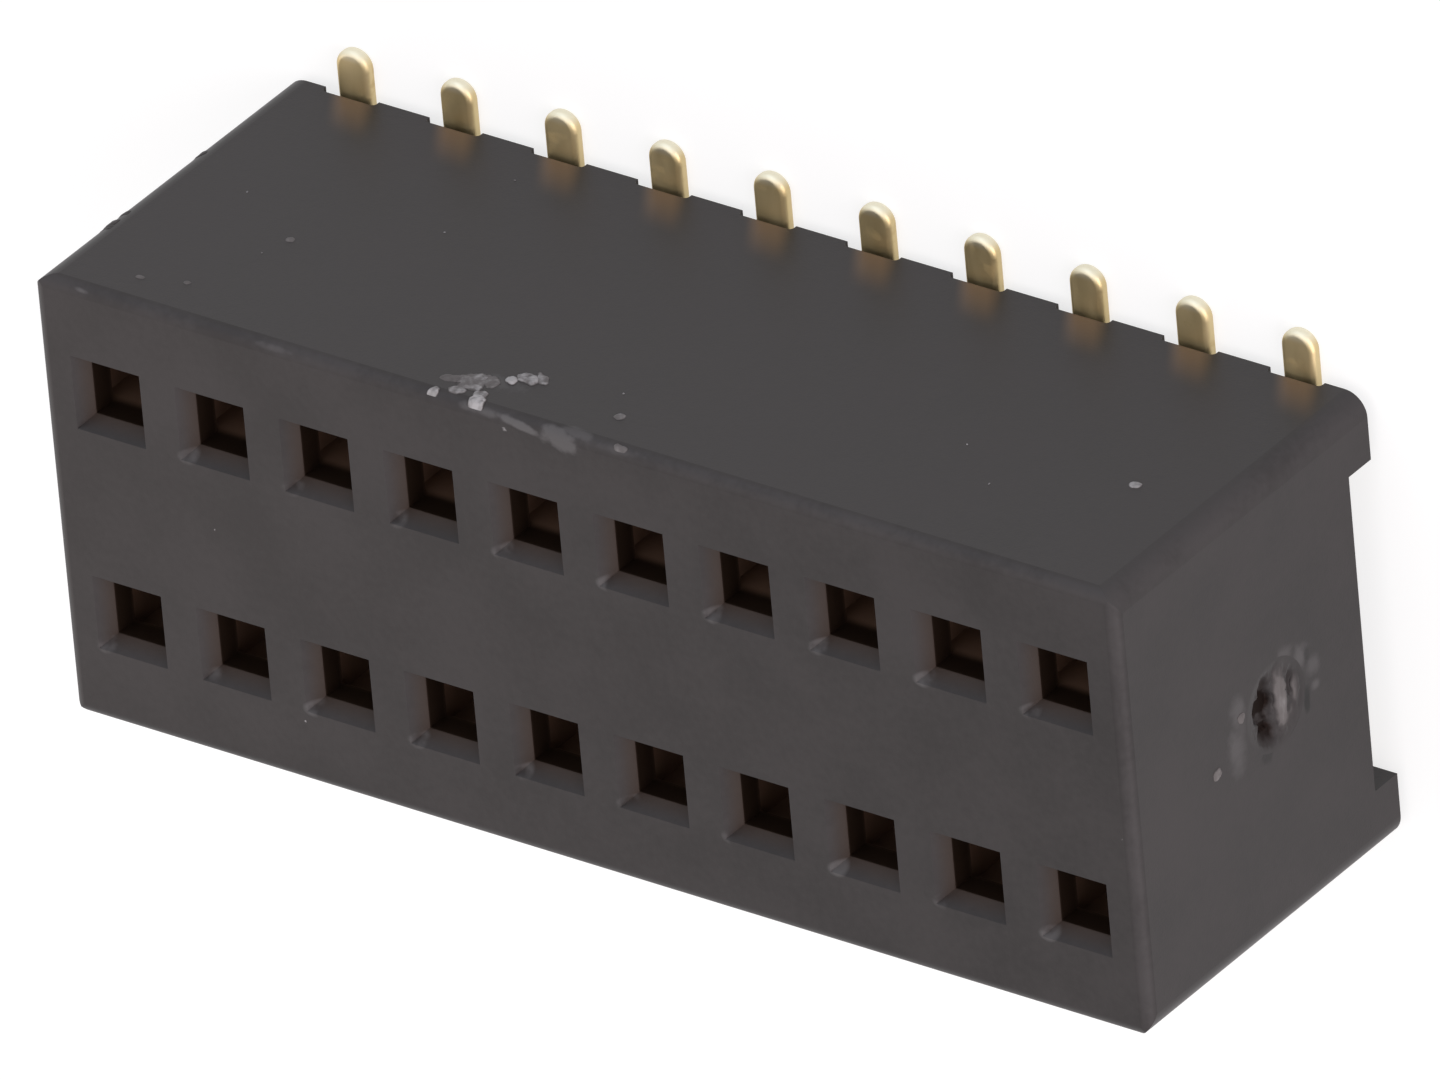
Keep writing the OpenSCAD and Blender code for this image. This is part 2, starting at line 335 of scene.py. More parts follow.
# 1 in the block that holds the sockets, and the depth below the mating face
def insideSockets(tree):
    place = partPlace(tree)
    alongRow = calc(tree, "LESS_THAN", calc(tree, "ABSOLUTE", place["X"]), endX - moulding["shell"])
    acrossRows = calc(tree, "LESS_THAN", calc(tree, "ABSOLUTE", place["Y"]), wallY - moulding["shell"])
    aboveChannel = calc(tree, "GREATER_THAN", place["Z"], ribZ + moulding["channelTop"])
    inside = calc(tree, "MULTIPLY", calc(tree, "MULTIPLY", alongRow, acrossRows), aboveChannel)
    return inside, calc(tree, "SUBTRACT", topZ, place["Z"])


def rubbedEdges(tree, finish):
    place = partPlace(tree)
    fromEnd = calc(tree, "SUBTRACT", endX, calc(tree, "ABSOLUTE", place["X"]))
    fromWall = calc(tree, "SUBTRACT", wallY, calc(tree, "ABSOLUTE", place["Y"]))
    fromTop = calc(tree, "SUBTRACT", topZ, place["Z"])
    masks = []
    for first, second, radius in (
        (fromEnd, fromTop, moulding["edgeRadius"]),
        (fromWall, fromTop, moulding["edgeRadius"]),
        (fromEnd, fromWall, moulding["cornerRadius"]),
    ):
        both = calc(tree, "ADD", first, second)
        masks.append(ramp(tree, both, finish["rubbedStart"] * radius, radius, 1.0, 0.0))
    return calc(tree, "MAXIMUM", masks[0], calc(tree, "MAXIMUM", masks[1], masks[2]))


def makeHousingFinish(finish):
    material, tree, shader = startMaterial("mouldedHousing")
    height = useGroup(tree, mouldGrain, "Height", **finish["grain"])
    tone = useGroup(tree, mouldGrain, "Tone", **finish["grain"])
    colour = blendColours(tree, tone, finish["dark"], finish["light"])
    edges = rubbedEdges(tree, finish)
    rubbed = calc(tree, "MULTIPLY", edges, ramp(tree, tone, 0.0, 1.0, *finish["rubbedShare"]))
    colour = blendColours(tree, rubbed, colour, finish["rubbed"])
    # painted reflection of the feet on the side walls
    footReflection = calc(tree, "MULTIPLY", paintFootReflections(tree, finish), finish["footReflectionShare"])
    colour = blendColours(tree, footReflection, colour, finish["footReflectionColour"])
    # painted shade in the sockets: partly down the flares, full in the throats, with painted warm light
    # lower in the chambers
    inside, depth = insideSockets(tree)
    mouth = moulding["mouthDepth"]
    cap = moulding["capDepth"]
    flareShade = calc(tree, "MULTIPLY", ramp(tree, depth, 0.0, mouth, 0.0, finish["flareShadeShare"]), inside)
    begin, full = finish["throatFade"]
    throat = calc(tree, "MULTIPLY", ramp(tree, depth, mouth + begin, mouth + full), inside)
    begin, full = finish["chamberFade"]
    chamber = ramp(tree, depth, cap + begin, cap + full)
    deep = blendColours(tree, chamber, finish["throat"], finish["chamber"])
    colour = blendColours(tree, flareShade, colour, finish["throat"])
    colour = blendColours(tree, throat, colour, deep)
    # painted highlights at the mouths, with the whitened scuffs added below
    white = calc(tree, "MULTIPLY", paintMouthHighlights(tree, finish), finish["highlightShare"])
    for centre, halfSize, turn, ragged, grain, soft, strength in finish["scuffs"]:
        lean = (0, 0, math.radians(-turn))
        mask = useGroup(tree, whitenedPatch, "Mask", centre=centre, halfSize=halfSize,
                        lean=lean, ragged=ragged, grain=grain, soft=soft)
        white = calc(tree, "MAXIMUM", white, calc(tree, "MULTIPLY", mask, strength))
    dust = useGroup(tree, settledDust, "Mask", **finish["dustSpread"])
    colour = blendColours(tree, white, colour, finish["whitenedAndHighlight"])
    # painted shade of the pits on the end wall
    for centre, halfSize, strength in finish["pitShades"]:
        mask = useGroup(tree, whitenedPatch, "Mask", centre=centre, halfSize=halfSize,
                        **finish["pitShadeEdge"])
        colour = blendColours(tree, calc(tree, "MULTIPLY", mask, strength), colour, finish["pitShade"])
    dusty = calc(tree, "MULTIPLY", dust, finish["dustShare"])
    colour = blendColours(tree, dusty, colour, finish["dust"])
    tree.links.new(colour, shader.inputs["Base Color"])
    low, high = finish["roughness"]
    rough = calc(tree, "MULTIPLY_ADD", tone, high - low, low)
    rough = calc(tree, "MULTIPLY_ADD", white, finish["whitenedRough"], rough)
    rough = calc(tree, "MULTIPLY_ADD", throat, finish["throatRough"], rough)
    tree.links.new(rough, shader.inputs["Roughness"])
    throatShadeMetallic = calc(tree, "MULTIPLY", throat, calc(tree, "SUBTRACT", 1.0, chamber))
    tree.links.new(throatShadeMetallic, shader.inputs["Metallic"])     # keeps white reflections out of the throats
    shader.inputs["Specular IOR Level"].default_value = finish["specular"]
    rise = calc(tree, "MULTIPLY_ADD", white, finish["whitenedRise"], height)
    addBump(tree, shader, rise, finish["grainDepth"])
    return material


contactFinish = {
    "gold": (0.60, 0.475, 0.25, 1),
    "pale": (0.68, 0.56, 0.325, 1),
    "grain": {"grain": 26.0, "patches": 2.2, "stretch": (1.0, 0.18, 0.18)},     # rolled along the strip
    "grainDepth": 0.0009,
    "roughness": (0.42, 0.54),
    "tarnish": (0.47, 0.35, 0.17, 1),
    "tarnishSpots": (0.56, 0.74, 0.45),       # begin, full, strength
    "tarnishRough": 0.3,
    # painted highlight over the toes of the feet
    "toe": (0.78, 0.74, 0.59, 1),
    "toeHighlightStart": (0.34, 0.13),                 # from the side wall, and how soft it begins
    "dust": (0.4, 0.39, 0.38, 1),
    "dustSpread": {"spacing": 5.0, "share": 0.08, "speck": 0.1},
    "dustRough": 0.4,
}


def makeContactFinish(finish):
    material, tree, shader = startMaterial("platedContact")
    height = useGroup(tree, mouldGrain, "Height", **finish["grain"])
    tone = useGroup(tree, mouldGrain, "Tone", **finish["grain"])
    colour = blendColours(tree, tone, finish["gold"], finish["pale"])
    spots = noise(tree, partPoint(tree), 5.0, 4.0)[0]
    begin, full, strength = finish["tarnishSpots"]
    tarnish = ramp(tree, spots, begin, full, 0.0, strength)
    colour = blendColours(tree, tarnish, colour, finish["tarnish"])
    # painted highlight towards the toe
    outwards = calc(tree, "ABSOLUTE", partPlace(tree)["Y"])
    begin, soft = finish["toeHighlightStart"]
    toe = ramp(tree, outwards, wallY + begin, wallY + begin + soft)
    colour = blendColours(tree, toe, colour, finish["toe"])
    dust = useGroup(tree, settledDust, "Mask", **finish["dustSpread"])
    colour = blendColours(tree, dust, colour, finish["dust"])
    tree.links.new(colour, shader.inputs["Base Color"])
    low, high = finish["roughness"]
    rough = calc(tree, "MULTIPLY_ADD", tone, high - low, low)
    rough = calc(tree, "MULTIPLY_ADD", tarnish, finish["tarnishRough"], rough)
    rough = calc(tree, "MULTIPLY_ADD", dust, finish["dustRough"], rough)
    tree.links.new(rough, shader.inputs["Roughness"])
    shader.inputs["Metallic"].default_value = 1.0
    addBump(tree, shader, height, finish["grainDepth"])
    return material


# the stress attribute is 0 in the deepest pit, where shade is painted, and 1 or more on a whitened ridge
wholeStress = 0.5               # and this on whole plastic

tornFinish = {
    # painted shade in the deepest pits of the torn plastic
    "deep": (0.016, 0.0105, 0.009, 1),
    "pale": (0.125, 0.115, 0.114, 1),
    "chalk": (0.42, 0.41, 0.415, 1),
    "deepShadeRange": (0.05, 0.5),                 # stress from the painted pit shade to the housing's own colour
    "paleRange": (0.5, 0.9),
    "chalkRange": (0.88, 1.25),
    "darkRange": (0.08, 0.36),                # no white reflections below this stress
    "calm": 0.12,                             # nearer than this to whole plastic, its finish fades in
    "unevenness": 0.14,                       # of the stress, from the grain's tone
    "roughness": (0.7, 0.55),
    "grain": {"grain": 30.0, "patches": 6.0, "stretch": (1.0, 0.4, 1.0)},
    "grainDepth": 0.004,
}


def makeTornFinish(finish, whole):
    material, tree, shader = startMaterial("tornPlastic")
    stressAndShade = addNode(tree, "ShaderNodeAttribute", attribute_name="stressAndShade").outputs["Fac"]
    height = useGroup(tree, mouldGrain, "Height", **finish["grain"])
    tone = useGroup(tree, mouldGrain, "Tone", **finish["grain"])
    plainTone = useGroup(tree, mouldGrain, "Tone", **whole["grain"])
    plain = blendColours(tree, plainTone, whole["dark"], whole["light"])
    away = calc(tree, "SUBTRACT", stressAndShade, wholeStress)
    change = ramp(tree, calc(tree, "ABSOLUTE", away), 0.0, finish["calm"])
    shake = calc(tree, "MULTIPLY", calc(tree, "SUBTRACT", tone, 0.5), finish["unevenness"])
    level = calc(tree, "MULTIPLY_ADD", shake, change, stressAndShade)
    # painted shade in the pits, then the whitened torn plastic
    colour = blendColours(tree, ramp(tree, level, *finish["deepShadeRange"]), finish["deep"], plain)
    colour = blendColours(tree, ramp(tree, level, *finish["paleRange"]), colour, finish["pale"])
    colour = blendColours(tree, ramp(tree, level, *finish["chalkRange"]), colour, finish["chalk"])
    tree.links.new(colour, shader.inputs["Base Color"])
    tree.links.new(ramp(tree, level, *finish["darkRange"], 1.0, 0.0), shader.inputs["Metallic"])
    low, high = whole["roughness"]
    smoothRough = calc(tree, "MULTIPLY_ADD", plainTone, high - low, low)
    tornRough = ramp(tree, level, 0.0, 1.0, *finish["roughness"])
    gap = calc(tree, "SUBTRACT", tornRough, smoothRough)
    tree.links.new(calc(tree, "MULTIPLY_ADD", gap, change, smoothRough), shader.inputs["Roughness"])
    shader.inputs["Specular IOR Level"].default_value = whole["specular"]
    addBump(tree, shader, calc(tree, "MULTIPLY", height, change), finish["grainDepth"])
    return material


dustFinish = {
    "dark": (0.22, 0.215, 0.22, 1),
    "pale": (0.5, 0.49, 0.5, 1),
    "grain": {"grain": 60.0, "patches": 9.0},
    "roughness": 0.85,
    "specular": 0.2,
}


def makeDustFinish(finish):
    material, tree, shader = startMaterial("dustSpeck")
    tone = useGroup(tree, mouldGrain, "Tone", **finish["grain"])
    tree.links.new(blendColours(tree, tone, finish["dark"], finish["pale"]), shader.inputs["Base Color"])
    shader.inputs["Roughness"].default_value = finish["roughness"]
    shader.inputs["Specular IOR Level"].default_value = finish["specular"]
    return material


mouldedHousing = makeHousingFinish(housingFinish)
platedContact = makeContactFinish(contactFinish)
tornPlastic = makeTornFinish(tornFinish, housingFinish)
dustSpeck = makeDustFinish(dustFinish)

for name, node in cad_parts.items():
    finish = mouldedHousing if name == "housing" else platedContact
    for slot in node.material_slots:
        slot.material = finish
print("finishes on the housing and", len(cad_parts) - 1, "contacts")


# relief made of soft blobs, for torn and scuffed plastic

noiseCells = 96                 # cells after which the noise repeats
noiseStart = (41.3, 37.7)       # cells from the lattice's corner to the origin
edgeCell = 0.09                 # of the noise that makes a blob's edge ragged


def softNoise(u, v, cell, seed):
    lattice = np.random.RandomState(seed).rand(noiseCells, noiseCells)
    a = u / cell + noiseStart[0]
    b = v / cell + noiseStart[1]
    i = np.floor(a).astype(int)
    j = np.floor(b).astype(int)
    s = a - i
    t = b - j
    s = s * s * (3 - 2 * s)
    t = t * t * (3 - 2 * t)
    i, nextI = i % noiseCells, (i + 1) % noiseCells
    j, nextJ = j % noiseCells, (j + 1) % noiseCells
    corner = lattice[i, j] * (1 - s) + lattice[nextI, j] * s
    across = lattice[i, nextJ] * (1 - s) + lattice[nextI, nextJ] * s
    return corner * (1 - t) + across * t


def layeredNoise(u, v, cell, seed):
    first = softNoise(u, v, cell, seed)
    second = softNoise(u, v, cell / 2.1, seed + 1)
    third = softNoise(u, v, cell / 4.3, seed + 2)
    return (first + 0.5 * second + 0.25 * third) / 1.75


def smoothStep(low, high, value):
    t = np.clip((value - low) / (high - low), 0, 1)
    return t * t * (3 - 2 * t)


def blob(u, v, shape, ragged, seed, soft):
    centreU, centreV, halfU, halfV, lean = shape
    turn = math.radians(lean)
    du = (u - centreU) * math.cos(turn) + (v - centreV) * math.sin(turn)
    dv = (v - centreV) * math.cos(turn) - (u - centreU) * math.sin(turn)
    reach = np.sqrt((du / halfU) ** 2 + (dv / halfV) ** 2)
    reach = reach + ragged * (layeredNoise(u, v, edgeCell, seed) - 0.5) * 2
    return 1 - smoothStep(1 - soft, 1 + soft, reach)


def gridSteps(reach, step, extra):
    count = int(2 * reach / step) + extra
    return (np.arange(count) - (count - 1) / 2) * step, count


def gridCells(count, kept):
    cells = []
    for i in range(count - 1):
        for j in range(count - 1):
            low = i * count + j
            high = low + count
            corners = (low, high, high + 1, low + 1)
            if any(kept[corner] for corner in corners):
                cells.append(corners)
    return cells


def dropLoose(points, faces, extra):
    used = sorted({corner for face in faces for corner in face})
    place = {old: new for new, old in enumerate(used)}
    return points[used], [[place[c] for c in face] for face in faces], extra[used]


def sheetObject(name, points, faces, stressAndShade):
    mesh = bpy.data.meshes.new(name)
    mesh.from_pydata([tuple(p * mm for p in point) for point in points.tolist()], [], faces)
    layer = mesh.attributes.new("stressAndShade", "FLOAT", "POINT")
    layer.data.foreach_set("value", np.asarray(stressAndShade, np.float32))
    mesh.shade_smooth()
    mesh.materials.append(tornPlastic)
    mesh.update()
    return putInScene(name, mesh)


# the scar where the gate was torn off, in the dimple of the end wall

gateScar = {
    "centre": (0.0, ribZ + moulding["gateHeight"]),
    "radius": 0.503,          # a little under the wall all round
    "step": 0.0085,           # of the mesh
    "floor": 0.03,            # usual depth of the dimple's ground
    "depths": (0.002, 0.104),                 # least and most
    "under": 0.0007,                          # keeps the rim just under the wall
    "rim": (0.55, 0.98),                      # shares of the radius between which the relief fades
    "stressRange": (0.02, 1),
    "fibres": (0.28, 0.05, 11, 0.022, 0.16),  # squeeze, cell, seed, depth, paleness
    "lumps": (0.11, 23, 0.02, 0.22),          # cell, seed, depth, paleness
    # raggedness, first seed, softness, share of the fibres in the paleness
    "pitEdge": (0.3, 50, 0.3, 0.2),
    "ridgeEdge": (0.24, 150, 0.35, 0.35),
    # y, z from the centre, half length, half width, lean, depth, paleness
    "pits": [
        (0.2, 0.12, 0.22, 0.09, 8, 0.06, 0.22),
        (0.05, 0.17, 0.15, 0.15, 6, 0.075, 0.0),
        (-0.12, 0.14, 0.1, 0.12, 0, 0.045, 0.27),
        (-0.28, 0.15, 0.13, 0.16, -14, 0.045, 0.08),
        (0.13, -0.29, 0.17, 0.04, 0, 0.035, 0.25),
        (-0.22, -0.42, 0.14, 0.05, 0, 0.02, 0.18),
    ],
    # y, z from the centre, half length, half width, lean, height, paleness
    "ridges": [
        (0.05, -0.11, 0.36, 0.095, 2, 0.04, 0.84),
        (-0.08, -0.12, 0.16, 0.06, 2, 0.012, 0.9),
        (-0.0, -0.37, 0.18, 0.05, 0, 0.02, 0.8),
        (-0.3, -0.3, 0.15, 0.13, 10, 0.012, 0.7),
        (0.35, -0.22, 0.12, 0.2, 0, 0.008, 0.64),
        (0.0, 0.43, 0.3, 0.05, 4, 0.004, 0.6),
    ],
}


def makeGateScar(scar):
    centreY, centreZ = scar["centre"]
    radius = scar["radius"]
    steps, count = gridSteps(radius, scar["step"], 3)
    gridY, gridZ = np.meshgrid(steps, steps, indexing="ij")
    y = gridY.ravel()
    z = gridZ.ravel()
    reach = np.hypot(y, z)
    kept = reach < radius
    pull = np.where(reach > radius, radius / np.maximum(reach, 1e-9), 1.0)   # rounds off the rim
    y = y * pull
    z = z * pull
    reach = np.minimum(reach, radius)
    inside = 1 - smoothStep(*scar["rim"], reach / radius)
    squeeze, cell, seed, fibreDepth, fibrePale = scar["fibres"]
    fibres = layeredNoise(y * squeeze, z, cell, seed) - 0.5
    cell, seed, lumpDepth, lumpPale = scar["lumps"]
    lumps = layeredNoise(y, z, cell, seed) - 0.5
    depth = scar["floor"] + fibreDepth * fibres + lumpDepth * lumps
    stressAndShade = wholeStress + lumpPale * lumps + fibrePale * fibres
    layers = ((scar["pits"], scar["pitEdge"], 1), (scar["ridges"], scar["ridgeEdge"], -1))
    for rows, edge, way in layers:
        ragged, seed, soft, fibreShare = edge
        for k, (midY, midZ, halfY, halfZ, lean, change, pale) in enumerate(rows):
            share = blob(y, z, (midY, midZ, halfY, halfZ, lean), ragged, seed + 7 * k, soft)
            depth = depth + way * share * change
            stressAndShade = stressAndShade * (1 - share) + share * (pale + fibreShare * fibres)
    depth = np.clip(depth, *scar["depths"]) * inside + scar["under"]
    stressAndShade = np.clip(wholeStress + (stressAndShade - wholeStress) * inside, *scar["stressRange"])
    points = np.stack([endX - depth, y + centreY, z + centreZ], 1)
    points, faces, stressAndShade = dropLoose(points, gridCells(count, kept), stressAndShade)
    piece = sheetObject("gateScar", points, faces, stressAndShade)
    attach(piece, "root")
    print("gate scar:", len(faces), "quads")


makeGateScar(gateScar)


# raised flakes and crumbs of plastic on the walls

wallFlakes = {
    "step": 0.007,            # of the mesh
    "sunk": 0.003,            # how far a flake's edge lies inside the wall
    "thinnest": 0.0009,
    "border": 1.7,            # half size of a flake's sheet over its own
    "edge": (0.5, 300, 0.3),  # raggedness, first seed, softness
    "lumps": (0.05, 500),     # cell, first seed
    "heightShare": (0.45, 0.75),              # of a flake's height: everywhere, and more on lumps
    "paleShare": (0.6, 0.75),                 # of its paleness likewise
    "stressRange": (0.02, 1.4),
    "fromCorner": (0.1, 0.3),                 # shares of the corner's radius over which a flake rises
    "fromFace": (0.15, 0.4),                  # and of the mating edge's radius
    # on the long wall: x, z below the mating face, half along x, half along z,
    # lean, height, paleness
    "longWall": [
        (-1.42, 0.37, 0.15, 0.13, 10, 0.016, 1.0),
        (-1.62, 0.33, 0.11, 0.06, -25, 0.010, 0.86),
        (-1.26, 0.44, 0.12, 0.08, 20, 0.014, 0.96),
        (-1.16, 0.09, 0.085, 0.10, 0, 0.034, 1.22),
        (-1.20, 0.19, 0.07, 0.07, 0, 0.020, 1.06),
        (-1.076, 0.56, 0.058, 0.058, 0, 0.034, 1.42),
        (-0.95, 0.66, 0.105, 0.085, 25, 0.024, 1.08),
        (-0.82, 0.73, 0.10, 0.055, 35, 0.018, 1.0),
        (-1.46, 0.16, 0.09, 0.055, 0, 0.018, 1.02),
        (-1.67, 0.05, 0.055, 0.055, 0, 0.022, 1.1),
        (0.268, 0.50, 0.055, 0.055, 0, 0.018, 1.0),
        (0.60, 0.05, 0.07, 0.04, 0, 0.014, 0.95),
        (-5.51, 0.44, 0.05, 0.035, 0, 0.012, 0.84),
        (-5.03, 0.57, 0.04, 0.035, 0, 0.012, 0.8),
        (-4.61, 1.72, 0.045, 0.045, 0, 0.014, 0.9),
        (5.50, 1.84, 0.052, 0.056, 0, 0.018, 1.15),
        (-6.43, 1.17, 0.08, 0.10, 0, 0.022, 0.68),
        (-6.42, 1.42, 0.06, 0.06, 0, 0.013, 0.62),
        (-6.43, 2.70, 0.06, 0.07, 0, 0.013, 0.62),
    ],
    # on the end wall with the gate: y, z below the mating face, half along y, half along z,
    # lean, height, paleness
    "endWall": [
        (-0.245, 1.42, 0.055, 0.07, 35, 0.014, 0.86),
        (0.155, 1.87, 0.055, 0.055, 0, 0.010, 0.82),
    ],
}


# how far a rounded edge has dropped, this far from the end of the face
def roundedDrop(distance, radius):
    depth = np.clip(radius - distance, 0, 0.95 * radius)     # short of where the edge turns steep
    return radius - np.sqrt(radius ** 2 - depth ** 2)


def flakeSheet(settings, row, limit, k):
    along, below, halfAlong, halfBelow, lean, height, pale = row
    reach = settings["border"] * max(halfAlong, halfBelow)
    steps, count = gridSteps(reach, settings["step"], 1)
    gridAlong, gridZ = np.meshgrid(steps + along, steps + topZ - below, indexing="ij")
    a = gridAlong.ravel()
    z = gridZ.ravel()
    ragged, seed, soft = settings["edge"]
    share = blob(a, z, (along, topZ - below, halfAlong, halfBelow, lean), ragged, seed + 9 * k, soft)
    cell, seed = settings["lumps"]
    lumps = layeredNoise(a, z, cell, seed + 9 * k)
    corner = moulding["cornerRadius"]
    edge = moulding["edgeRadius"]
    side = limit - np.abs(a)
    top = topZ - z
    clearOfCorner = smoothStep(*settings["fromCorner"], side / corner)
    room = clearOfCorner * smoothStep(*settings["fromFace"], top / edge)
    base, swell = settings["heightShare"]
    rise = share * height * (base + swell * lumps) * room
    kept = rise > settings["thinnest"]
    drop = roundedDrop(side, corner) + roundedDrop(top, edge)
    out = np.where(kept, rise, -settings["sunk"]) - drop
    base, swell = settings["paleShare"]
    change = (pale - wholeStress) * (base + swell * lumps)
    stressAndShade = wholeStress + change * smoothStep(0.0, 0.5, share)
    return a, z, out, np.clip(stressAndShade, *settings["stressRange"]), gridCells(count, kept)


def makeWallFlakes(settings):
    pointsAll = []
    facesAll = []
    stressAll = []
    start = 0
    longRows = settings["longWall"]
    for k, row in enumerate(longRows + settings["endWall"]):
        onLongWall = k < len(longRows)
        a, z, out, stressAndShade, faces = flakeSheet(settings, row, endX if onLongWall else wallY, k)
        if not faces:
            continue
        if onLongWall:
            points = np.stack([a, wallY + out, z], 1)
            faces = [face[::-1] for face in faces]
        else:
            points = np.stack([endX + out, a, z], 1)
        points, faces, stressAndShade = dropLoose(points, faces, stressAndShade)
        facesAll += [[corner + start for corner in face] for face in faces]
        pointsAll.append(points)
        stressAll.append(stressAndShade)
        start += len(points)
    piece = sheetObject("wallFlakes", np.concatenate(pointsAll), facesAll, np.concatenate(stressAll))
    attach(piece, "root")
    print("wall flakes:", len(facesAll), "quads")


makeWallFlakes(wallFlakes)


# dust on both long side walls, scattered by a node tree

wallDust = {
    "perSquareMm": 0.16,
    "size": 0.011,            # radius of a speck
    "seed": 7,
    "inset": 0.35,            # clear band at the ends and under the mating face
    "above": 0.5,             # and over the ribs
    "clear": 0.002,           # from the wall to the middle of a speck
    "lumps": 90.0,            # features per mm on a speck
    "lumpiness": 1.4,         # share of its radius
    "turn": ((0, 0, 0), (6.28, 6.28, 6.28)),           # radians, least and most
    "stretch": ((0.4, 0.4, 0.3), (1.5, 1.1, 0.9)),     # least and most along X, Y and Z
}


def makeDustTree(settings):
    tree = bpy.data.node_groups.new("scatterDust", "GeometryNodeTree")
    face = tree.interface
    for label, kind in (("Walls", "Geometry"), ("Density", "Float"), ("Speck Radius", "Float"),
                        ("Seed", "Int"), ("Finish", "Material")):
        face.new_socket(name=label, in_out="INPUT", socket_type="NodeSocket" + kind)
    face.new_socket(name="Specks", in_out="OUTPUT", socket_type="NodeSocketGeometry")
    given = tree.nodes.new("NodeGroupInput").outputs
    result = tree.nodes.new("NodeGroupOutput").inputs
    sockets = {"Mesh": given["Walls"], "Density": given["Density"], "Seed": given["Seed"]}
    spread = addNode(tree, "GeometryNodeDistributePointsOnFaces", sockets).outputs["Points"]
    sockets = {"Radius": given["Speck Radius"], "Subdivisions": 2}
    speck = addNode(tree, "GeometryNodeMeshIcoSphere", sockets).outputs["Mesh"]
    place = tree.nodes.new("GeometryNodeInputPosition").outputs[0]
    lumps = noise(tree, place, settings["lumps"] / mm, 1.0)["Color"]
    shift = vectorCalc(tree, "SUBTRACT", lumps, (0.5, 0.5, 0.5))[0]
    push = scaled(tree, shift, calc(tree, "MULTIPLY", given["Speck Radius"], settings["lumpiness"]))
    lumpy = addNode(tree, "GeometryNodeSetPosition", {"Geometry": speck, "Offset": push}).outputs[0]
    draws = []
    for least, most in (settings["turn"], settings["stretch"]):
        sockets = {0: least, 1: most, "Seed": given["Seed"]}
        draw = addNode(tree, "FunctionNodeRandomValue", sockets, data_type="FLOAT_VECTOR")
        draws.append(draw.outputs[0])
    sockets = {"Points": spread, "Instance": lumpy, "Rotation": draws[0], "Scale": draws[1]}
    placed = addNode(tree, "GeometryNodeInstanceOnPoints", sockets).outputs[0]
    real = addNode(tree, "GeometryNodeRealizeInstances", {"Geometry": placed}).outputs[0]
    done = addNode(tree, "GeometryNodeSetMaterial", {"Geometry": real, "Material": given["Finish"]})
    feed(tree, result["Specks"], done.outputs[0])
    return tree


def runTree(tree, host, values):
    modifier = host.modifiers.new("tree", "NODES")
    modifier.node_group = tree
    for item in tree.interface.items_tree:
        if item.item_type == "SOCKET" and item.in_out == "INPUT" and item.name in values:
            modifier[item.identifier] = values[item.name]
    bpy.context.view_layer.update()
    graph = bpy.context.evaluated_depsgraph_get()
    mesh = bpy.data.meshes.new_from_object(host.evaluated_get(graph))
    host.modifiers.remove(modifier)
    return mesh


def makeDustWalls(settings):
    side = endX - settings["inset"]
    bottom = ribZ + settings["above"]
    top = topZ - settings["inset"]
    corners = []
    for way in (-1, 1):
        y = way * (wallY + settings["clear"])
        corners += [(-side, y, bottom), (side, y, bottom), (side, y, top), (-side, y, top)]
    walls = bpy.data.meshes.new("dustWalls")
    points = [tuple(size * mm for size in corner) for corner in corners]
    walls.from_pydata(points, [], [(0, 1, 2, 3), (7, 6, 5, 4)])
    return putInScene("dustWalls", walls)


def makeWallDust(settings):
    host = makeDustWalls(settings)
    values = {
        "Density": settings["perSquareMm"] / mm ** 2,
        "Speck Radius": settings["size"] * mm,
        "Seed": settings["seed"],
        "Finish": dustSpeck,
    }
    mesh = runTree(makeDustTree(settings), host, values)
    bpy.data.objects.remove(host)
    mesh.name = "wallDust"
    piece = putInScene("wallDust", mesh)
    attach(piece, "root")
    print("dust:", len(mesh.polygons), "faces")


makeWallDust(wallDust)


# floor, world and lamps

surroundings = {
    "floorHalf": 0.8,         # metres
    "floorColour": (0.35, 0.35, 0.35, 1),
    "floorGlow": 0.74,        # added for the eye and for reflections, the shadow stays
    "ambient": 0.55,
    # name, direction from the part, distance and size in metres, watts, colour
    "lamps": [
        ("overheadPanel", (0.1, 0.2, 1.0), 1.1, 1.2, 3.4, (1.0, 0.88, 0.86)),
        ("rightPanel", (1.0, 0.05, 0.3), 1.1, 1.1, 12.0, (1.0, 0.9, 0.92)),
        ("backPanel", (-0.2, 1.0, 0.45), 1.1, 1.1, 2.0, (0.6, 0.76, 1.0)),
        ("leftPanel", (-0.85, -0.35, 0.6), 0.05, 0.03, 0.0024, (1.0, 0.84, 0.78)),
    ],
}


# 1 for the eye and for reflections, 0 for the light that falls on the part
def clearOfDiffuse(tree):
    path = tree.nodes.new("ShaderNodeLightPath").outputs
    seen = calc(tree, "MAXIMUM", path["Is Camera Ray"], path["Is Glossy Ray"])
    return calc(tree, "MAXIMUM", seen, path["Is Transmission Ray"])


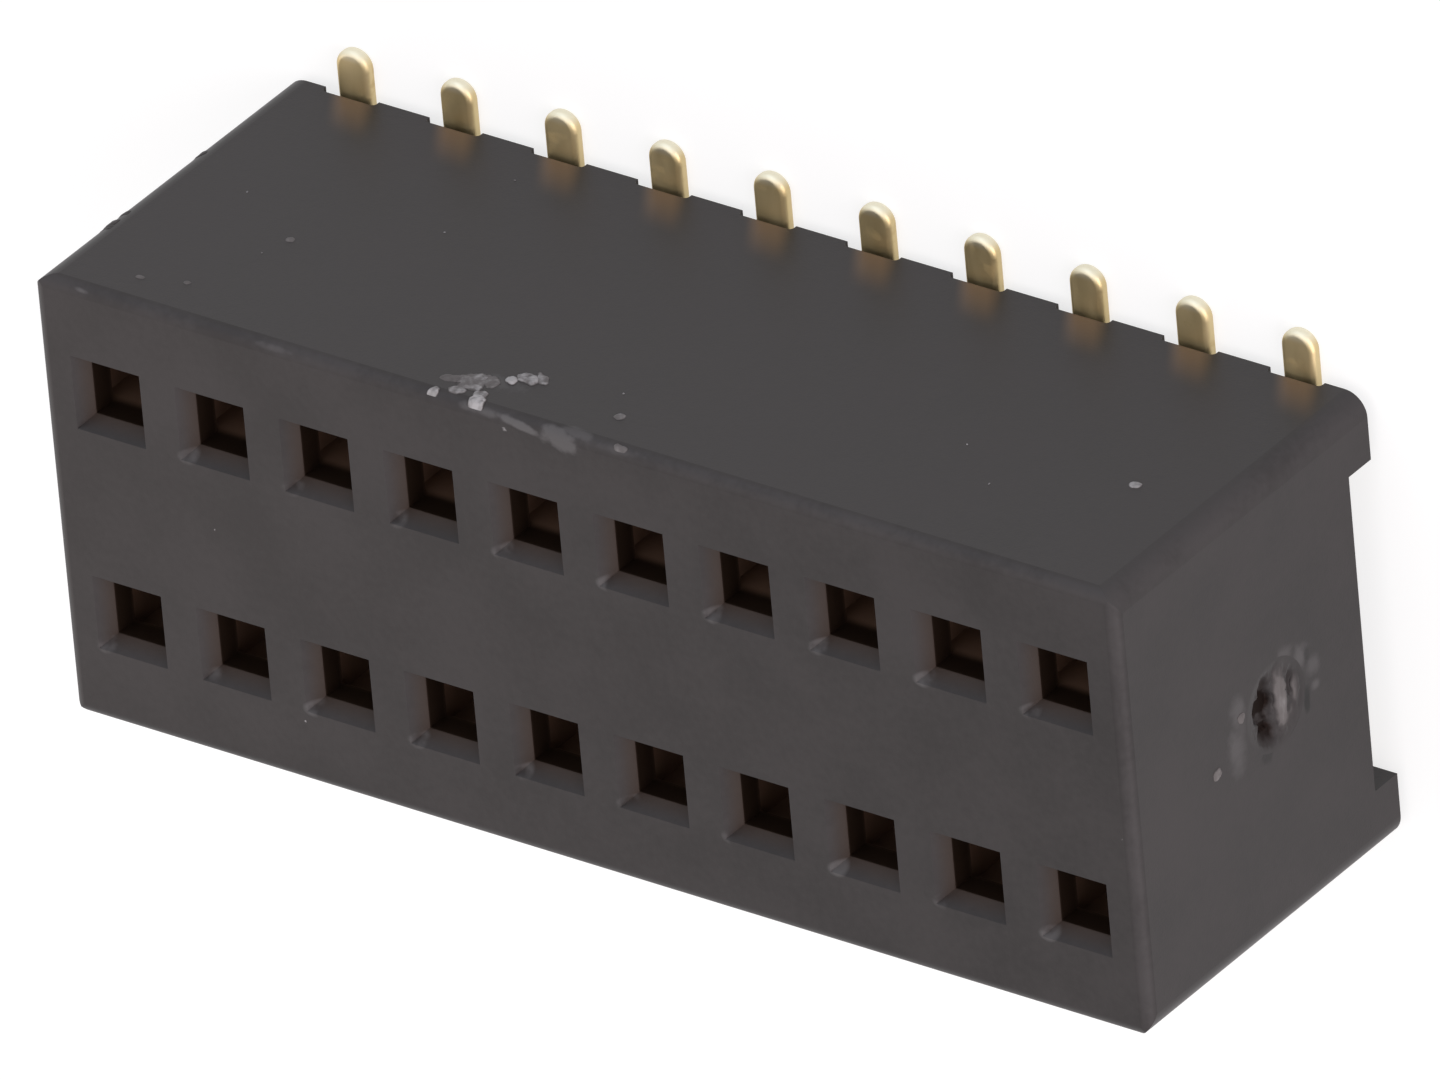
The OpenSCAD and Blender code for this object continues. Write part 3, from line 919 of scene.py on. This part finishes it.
def makeFloor(settings):
    half = settings["floorHalf"]
    corners = [(-half, -half, 0), (half, -half, 0), (half, half, 0), (-half, half, 0)]
    mesh = bpy.data.meshes.new("studioFloor")
    mesh.from_pydata(corners, [], [(0, 1, 2, 3)])
    floor = putInScene("studioFloor", mesh)
    material = bpy.data.materials.new("paleFloor")
    material.use_nodes = True
    tree = material.node_tree
    tree.nodes.clear()
    ground = addNode(tree, "ShaderNodeBsdfDiffuse", {"Color": settings["floorColour"]})
    strength = calc(tree, "MULTIPLY", clearOfDiffuse(tree), settings["floorGlow"])
    glow = addNode(tree, "ShaderNodeEmission", {"Color": (1, 1, 1, 1), "Strength": strength})
    both = addNode(tree, "ShaderNodeAddShader", {0: ground.outputs[0], 1: glow.outputs[0]})
    output = tree.nodes.new("ShaderNodeOutputMaterial")
    tree.links.new(both.outputs[0], output.inputs[0])
    mesh.materials.append(material)


def makeWorld(settings):
    world = bpy.data.worlds.new("whiteRoom")
    bpy.context.scene.world = world
    world.use_nodes = True
    tree = world.node_tree
    tree.nodes.clear()
    strength = ramp(tree, clearOfDiffuse(tree), 0.0, 1.0, settings["ambient"], 1.0)
    air = addNode(tree, "ShaderNodeBackground", {"Color": (1, 1, 1, 1), "Strength": strength})
    output = tree.nodes.new("ShaderNodeOutputWorld")
    tree.links.new(air.outputs[0], output.inputs[0])


def makeLamps(settings):
    for name, direction, distance, size, watts, colour in settings["lamps"]:
        data = bpy.data.lights.new(name, "AREA")
        data.energy = watts
        data.color = colour
        data.size = size
        lamp = putInScene(name, data)
        way = Vector(direction).normalized()
        lamp.location = way * distance
        lamp.rotation_mode = "QUATERNION"
        lamp.rotation_quaternion = way.to_track_quat("Z", "Y")
        lamp.visible_camera = False


makeFloor(surroundings)
makeWorld(surroundings)
makeLamps(surroundings)
bpy.context.scene.view_settings.view_transform = "Standard"
print("floor, world and", len(surroundings["lamps"]), "lamps")


# camera

shot = {
    "aim": (0.71523, 0.81104, 3.12971),
    "right": (0.81173491, -0.0786013, -0.57871261),
    "up": (-0.24471043, 0.85394725, -0.4592286),
    "back": (0.53028601, 0.5143889, 0.67394422),
    "distance": 457.91,
    "lens": 1168.3,
    "sensor": 36.0,
    "sight": (0.02, 3.0),     # nearest and farthest, in metres
}


def makeCamera(settings):
    data = bpy.data.cameras.new("benchCamera")
    data.lens = settings["lens"]
    data.sensor_width = settings["sensor"]
    data.clip_start, data.clip_end = settings["sight"]
    camera = putInScene("benchCamera", data)
    right = Vector(settings["right"])
    up = Vector(settings["up"])
    back = Vector(settings["back"])
    place = (Vector(settings["aim"]) + back * settings["distance"]) * mm
    camera.matrix_world = Matrix((
        (right.x, up.x, back.x, place.x),
        (right.y, up.y, back.y, place.y),
        (right.z, up.z, back.z, place.z),
        (0, 0, 0, 1),
    ))
    bpy.context.scene.camera = camera


makeCamera(shot)
